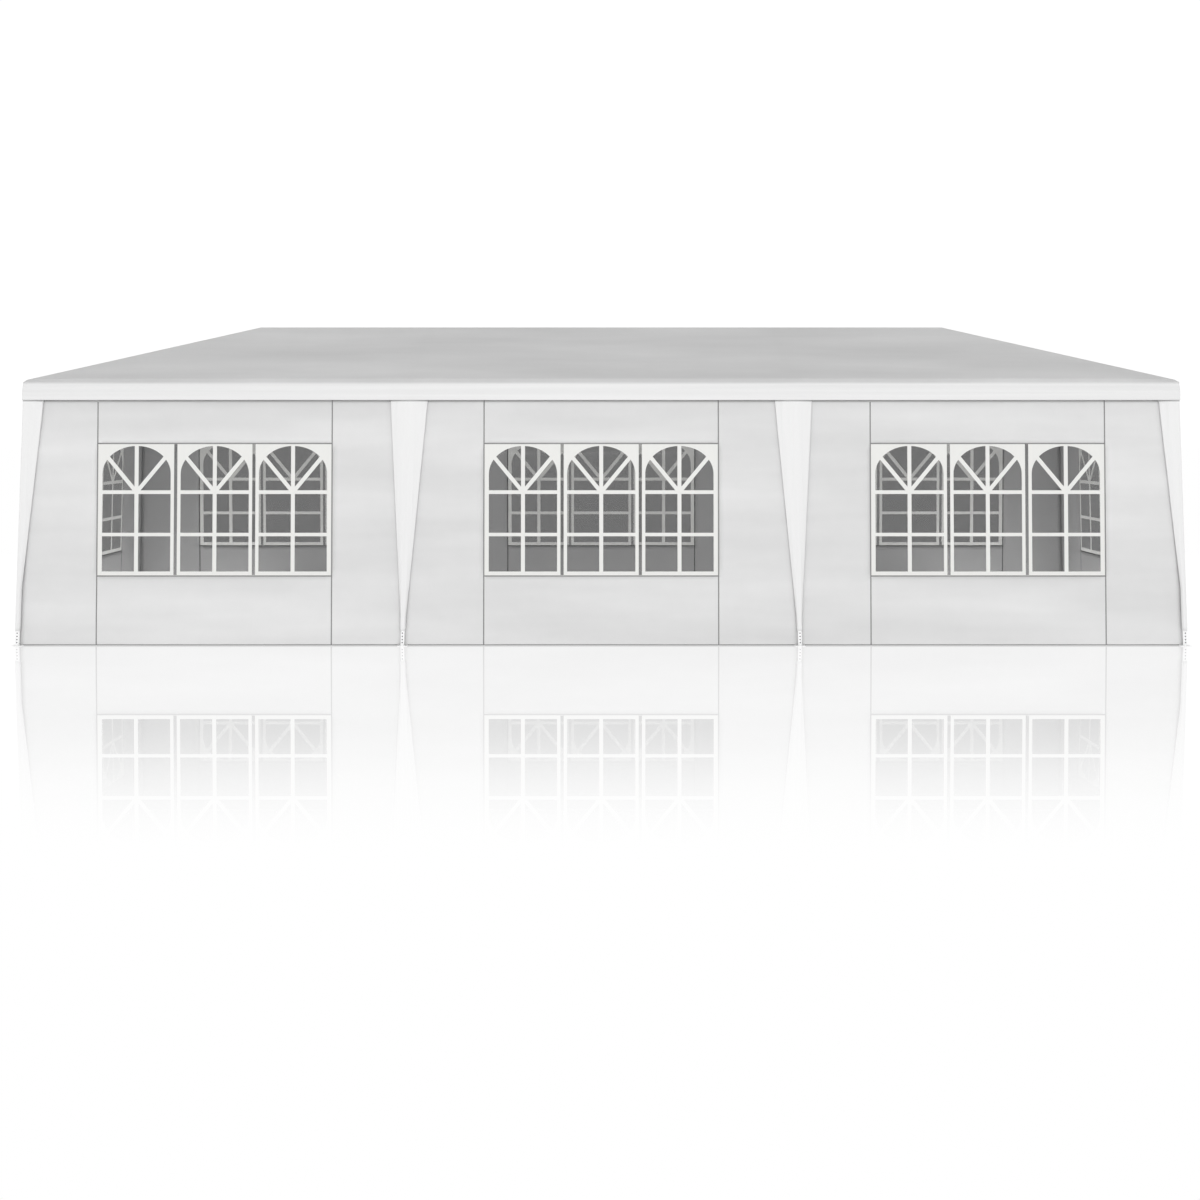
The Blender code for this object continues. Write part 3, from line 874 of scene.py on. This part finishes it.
def flat_print():
    """The print of one window section as a flat plate with its clear shapes cut out."""
    curve = bpy.data.curves.new("window_print", "CURVE")
    curve.dimensions = "2D"
    curve.fill_mode = "BOTH"
    curve.extrude = PRINT / 2
    for outline in window_outlines():
        spline = curve.splines.new("POLY")
        spline.points.add(len(outline) - 1)
        for point, place_2d in zip(spline.points, outline):
            point.co = (place_2d.x, place_2d.y, 0.0, 1.0)
        spline.use_cyclic_u = True
    holder = bpy.data.objects.new("window_print", curve)
    bpy.context.collection.objects.link(holder)
    bpy.context.view_layer.update()
    evaluated = holder.evaluated_get(bpy.context.evaluated_depsgraph_get())
    mesh = bpy.data.meshes.new_from_object(evaluated)
    bpy.data.objects.remove(holder)
    bpy.data.curves.remove(curve)
    work = bmesh.new()
    work.from_mesh(mesh)
    bmesh.ops.remove_doubles(work, verts=work.verts, dist=0.00001)
    work.to_mesh(mesh)
    work.free()
    return mesh


def make_window_print(wall, template):
    name = f"{wall.name}_window_bars"
    mesh = template.copy()
    mesh.name = name
    middle = CLOTH / 2
    for vertex in mesh.vertices:
        height = vertex.co.y
        outward = wall_outward(wall.side, height) - middle + vertex.co.z
        vertex.co = place(wall.side, wall.centre + vertex.co.x, outward, height)
    mesh.materials.clear()
    bars = add_piece(name, mesh, WINDOW_PRINT)
    mesh.shade_flat()
    return bars


def make_window_film(wall):
    reach = 0.003
    rows = []
    flat = []
    for height in steps(WINDOW_BOTTOM - reach, WINDOW_TOP + reach, 0.11):
        row = []
        for offset in steps(-WINDOW_HALF_WIDTH - reach, WINDOW_HALF_WIDTH + reach, 0.11):
            outward = wall_outward(wall.side, height) - (CLOTH - FILM) / 2
            row.append((offset, place(wall.side, wall.centre + offset, outward, height)))
        rows.append([point for _, point in row])
        flat.append([(wall.centre + offset, height) for offset, _ in row])
    name = f"{wall.name}_window_film"
    piece_name = f"{wall.name}_clear_film"
    film = add_piece(piece_name, grid_mesh(piece_name, rows, flat), WINDOW_FILM, [name])
    thicken(film, FILM)
    return film


def make_wall(name, side, start, end, print_template):
    wall = Wall(name, side, start, end)
    cloth = make_wall_cloth(wall)
    tapes_and_shadow_strips = [make_seams_and_hem_shadow(wall), make_valance_shadow_tape(wall)]
    film = make_window_film(wall)
    bars = make_window_print(wall, print_template)


# Leg drapes


def drape_outward(side, height):
    return half_depth(side) + lean(height) + LEG_RADIUS + GAP + SOLID_FABRIC


def drape_width(widths, narrow_end, height):
    share = max(height - narrow_end, 0.0) / (DRAPE_TOP - narrow_end)
    return widths[0] + (widths[1] - widths[0]) * share


def wing_back(from_middle, flat, width):
    """How far a drape's wing lies back, in a soft curve from the leg to its edge."""
    start = min(flat, width - SHORTEST_WING)
    share = max(from_middle - start, 0.0) / (width - start)
    return DRAPE_DEPTH * (0.6 * (1 - math.cos(share * math.pi / 2)) + 0.4 * share)


def drape_fold(share, height, seed):
    """Shallow folds that run down a drape and fade at its edges and its foot."""
    strength = 0.0016 * ease(height, DRAPE_BOTTOM, 1.4) * (1 - share * share)
    return strength * math.sin(7.0 * share + seed) * math.cos(1.3 * height + seed)


def middle_drape_row(side, along, height, seed, proud=0.0):
    """A level row of points over a middle leg, and where they lie in the cut cloth."""
    width = drape_width(MIDDLE_DRAPE_WIDTHS, MIDDLE_DRAPE_NARROW_END, height)
    centre = along + math.copysign(lean(height), along)
    shares = steps(-1, 1, 0.05)
    row = []
    for share in shares:
        across = share * width / 2
        back = wing_back(abs(across), DRAPE_FLAT, width / 2)
        fold = abs(drape_fold(share, height, seed))
        row.append(place(side, centre + across, drape_outward(side, height) - back - fold + proud, height))
    return row, [(share * width / 2, height) for share in shares]


def corner_point(distance, width):
    """Where a corner drape's edge line lies: how far it stands back from the two outer faces."""
    rounding = 0.010
    if abs(distance) < rounding:
        angle = (distance / rounding + 1) * math.pi / 4
        return rounding - rounding * math.sin(angle), rounding - rounding * math.cos(angle)
    back = wing_back(abs(distance), 2 * DRAPE_FLAT, width)
    if distance > 0:
        return back, abs(distance)
    return abs(distance), back


def corner_drape_row(along, across, height, seed, proud=0.0):
    """A level row of points round a corner leg, and where they lie in the cut cloth."""
    width = drape_width(CORNER_DRAPE_WIDTHS, CORNER_DRAPE_NARROW_END, height)
    distances = [-width + (width - 0.012) * i / 14 for i in range(15)]
    distances += [-0.010, -0.006, 0.0, 0.006, 0.010]
    distances += [-d for d in distances[14::-1]]
    row = []
    for distance in distances:
        from_side, from_front = corner_point(distance, width)
        fold = abs(drape_fold(distance / width, height, seed)) * ease(abs(distance), 0.02, 0.06)
        from_side += fold if distance > 0 else 0.0
        from_front += fold if distance < 0 else 0.0
        x = math.copysign(drape_outward("right", height) - from_side + proud, along)
        y = math.copysign(drape_outward("front", height) - from_front + proud, across)
        row.append(Vector((x, y, height)))
    if along * across > 0:
        row.reverse()
    return row, [(d, height) for d in distances]


def make_drape(side, where, along):
    """A leg's drape, and a pale grey tape on it just under the valance, which paints the valance's shadow line."""
    name = f"{side}_{where}_drape"
    seed = random.Random(name).uniform(0.0, 6.0)
    if abs(along) == HALF_LENGTH:
        across = -HALF_DEPTH if side == "front" else HALF_DEPTH
        narrow_end = CORNER_DRAPE_NARROW_END

        def row_at(height, proud=0.0):
            return corner_drape_row(along, across, height, seed, proud)

    else:
        seen_along = along if side == "front" else -along
        narrow_end = MIDDLE_DRAPE_NARROW_END

        def row_at(height, proud=0.0):
            return middle_drape_row(side, seen_along, height, seed, proud)

    heights = steps(DRAPE_BOTTOM, narrow_end, 0.05) + steps(narrow_end, DRAPE_TOP, 0.05)[1:]
    rows, flat = zip(*(row_at(height) for height in heights))
    mesh = grid_mesh(f"{name}_cloth", rows, flat)
    drape = add_piece(f"{name}_cloth", mesh, DRAPE_CLOTH, [name])
    thicken(drape, CLOTH)
    # A pale grey strip that paints the valance's shadow line across the drape.
    tape_top = VALANCE_BOTTOM + 0.002
    rows, flat = zip(*(row_at(height, TAPE) for height in (tape_top - DRAPE_SHADOW_TAPE_WIDTH, tape_top)))
    mesh = grid_mesh(f"{name}_top_tape", rows, flat)
    tape = add_piece(f"{name}_top_tape", mesh, VALANCE_SHADOW_TAPE)
    thicken(tape, CLOTH + 2 * TAPE)


# Steel frame


def make_bores():
    """Dark cylinders that paint the shade inside the legs, as it shows through the adjusting holes."""
    work = bmesh.new()
    turned = Matrix.Rotation(math.pi / 2, 4, "X")
    for across in (-HALF_DEPTH, HALF_DEPTH):
        for along in LEGS.values():
            for height in HOLE_HEIGHTS:
                x = along + math.copysign(lean(height), along)
                y = across + math.copysign(lean(height), across)
                bmesh.ops.create_cone(
                    work,
                    cap_ends=True,
                    segments=16,
                    radius1=HOLE_RADIUS,
                    radius2=HOLE_RADIUS,
                    depth=2 * LEG_RADIUS - 0.003,
                    matrix=Matrix.Translation((x, y, height)) @ turned,
                )
    mesh = bpy.data.meshes.new("leg_hole_shade")
    work.to_mesh(mesh)
    work.free()
    add_piece("leg_hole_shade", mesh, BORE_SHADE)


def coat_frame():
    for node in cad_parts.values():
        if node.hide_render:
            continue
        for slot in node.material_slots:
            slot.material = POWDER_COAT


# The studio


def make_floor():
    """A white floor with a soft reflection that fades away from the tent."""
    mesh = bpy.data.meshes.new("studio_floor")
    work = bmesh.new()
    bmesh.ops.create_grid(work, x_segments=1, y_segments=1, size=120.0)
    work.to_mesh(mesh)
    work.free()
    floor = bpy.data.objects.new("studio_floor", mesh)
    bpy.context.collection.objects.link(floor)
    floor.location.z = -0.0005
    recipe = Recipe("studio_floor", (1.0, 1.0, 1.0), 0.5)
    place_node = recipe.add("ShaderNodeNewGeometry")
    split = recipe.add("ShaderNodeSeparateXYZ")
    recipe.link(place_node.outputs["Position"], split.inputs[0])
    beside = recipe.math("SUBTRACT", recipe.math("ABSOLUTE", split.outputs["X"], 0.0), 4.5)
    before = recipe.math("SUBTRACT", recipe.math("ABSOLUTE", split.outputs["Y"], 0.0), 1.5)
    away = recipe.math("MAXIMUM", beside, before)
    fade = recipe.add("ShaderNodeMapRange", interpolation_type="SMOOTHSTEP")
    fade.inputs["From Min"].default_value = 3.0
    fade.inputs["From Max"].default_value = 5.9
    fade.inputs["To Min"].default_value = MIRROR_SHARE
    fade.inputs["To Max"].default_value = 0.0
    recipe.link(away, fade.inputs["Value"])
    light = recipe.add("ShaderNodeEmission", Color=(1.0, 1.0, 1.0, 1.0))
    mirror = recipe.add("ShaderNodeBsdfGlossy", Color=(1.0, 1.0, 1.0, 1.0), Roughness=0.0)
    polish = recipe.add("ShaderNodeFresnel", IOR=1.45)
    gloss = recipe.math("MULTIPLY", fade.outputs["Result"], polish.outputs["Fac"])
    mix = recipe.add("ShaderNodeMixShader")
    recipe.link(gloss, mix.inputs["Fac"])
    recipe.link(light.outputs[0], mix.inputs[1])
    recipe.link(mirror.outputs[0], mix.inputs[2])
    recipe.link(mix.outputs[0], recipe.output.inputs["Surface"])
    mesh.materials.append(recipe.material)


def make_world():
    """White light all round, softer from straight above."""
    world = bpy.data.worlds.new("studio")
    world.use_nodes = True
    bpy.context.scene.world = world
    tree = world.node_tree
    background = tree.nodes["Background"]
    where = tree.nodes.new("ShaderNodeTexCoord")
    split = tree.nodes.new("ShaderNodeSeparateXYZ")
    ramp = tree.nodes.new("ShaderNodeValToRGB")
    ramp.color_ramp.elements[0].position = math.sin(math.radians(20))
    ramp.color_ramp.elements[0].color = (1.0, 1.0, 1.0, 1.0)
    ramp.color_ramp.elements[1].position = math.sin(math.radians(50))
    ramp.color_ramp.elements[1].color = (0.45, 0.45, 0.45, 1.0)
    tree.links.new(where.outputs["Generated"], split.inputs[0])
    tree.links.new(split.outputs["Z"], ramp.inputs["Fac"])
    tree.links.new(ramp.outputs["Color"], background.inputs["Color"])
    background.inputs["Strength"].default_value = 1.04


def make_front_light():
    """A large soft light high behind the camera, for gentle shadows at the drapes."""
    light = bpy.data.lights.new("soft_front_light", "AREA")
    light.shape = "RECTANGLE"
    light.size = 12.0
    light.size_y = 9.0
    light.energy = 1600.0
    holder = bpy.data.objects.new("soft_front_light", light)
    bpy.context.collection.objects.link(holder)
    holder.location = (0.0, -27.0, 13.0)
    aim = Vector((0.0, 0.0, 1.2)) - holder.location
    holder.rotation_euler = aim.to_track_quat("-Z", "Y").to_euler()
    holder.visible_camera = False


def make_inside_lights():
    """Soft lights low under the tent, for the far walls that the windows show."""
    for where, (along, length, watts) in INSIDE_LIGHTS.items():
        light = bpy.data.lights.new(f"{where}_inside_light", "AREA")
        light.shape = "RECTANGLE"
        light.size = length
        light.size_y = INSIDE_LIGHT_DEPTH
        light.energy = watts
        holder = bpy.data.objects.new(light.name, light)
        bpy.context.collection.objects.link(holder)
        holder.location = (along, 0.0, 0.03)
        holder.rotation_euler = (math.pi, 0.0, 0.0)
        holder.visible_camera = False
        holder.visible_glossy = False


def make_camera():
    camera = bpy.data.cameras.new("camera")
    camera.sensor_width = 36.0
    camera.lens = 45.42
    camera.shift_x = -0.0010
    camera.shift_y = -0.1434
    camera.clip_end = 300.0
    holder = bpy.data.objects.new("camera", camera)
    bpy.context.collection.objects.link(holder)
    holder.location = (0.0, -13.35, 1.698)
    holder.rotation_euler = (math.pi / 2, 0.0, 0.0)
    bpy.context.scene.camera = holder


make_roof_cover()
make_valance()
window_template = flat_print()
for wall_name, (wall_side, wall_start, wall_end) in WALLS.items():
    make_wall(wall_name, wall_side, wall_start, wall_end, window_template)
bpy.data.meshes.remove(window_template)
for drape_side in ("front", "back"):
    for drape_where, drape_along in LEGS.items():
        make_drape(drape_side, drape_where, drape_along)
make_bores()
coat_frame()
make_floor()
make_world()
make_front_light()
make_inside_lights()
make_camera()
bpy.context.scene.view_settings.view_transform = "Standard"
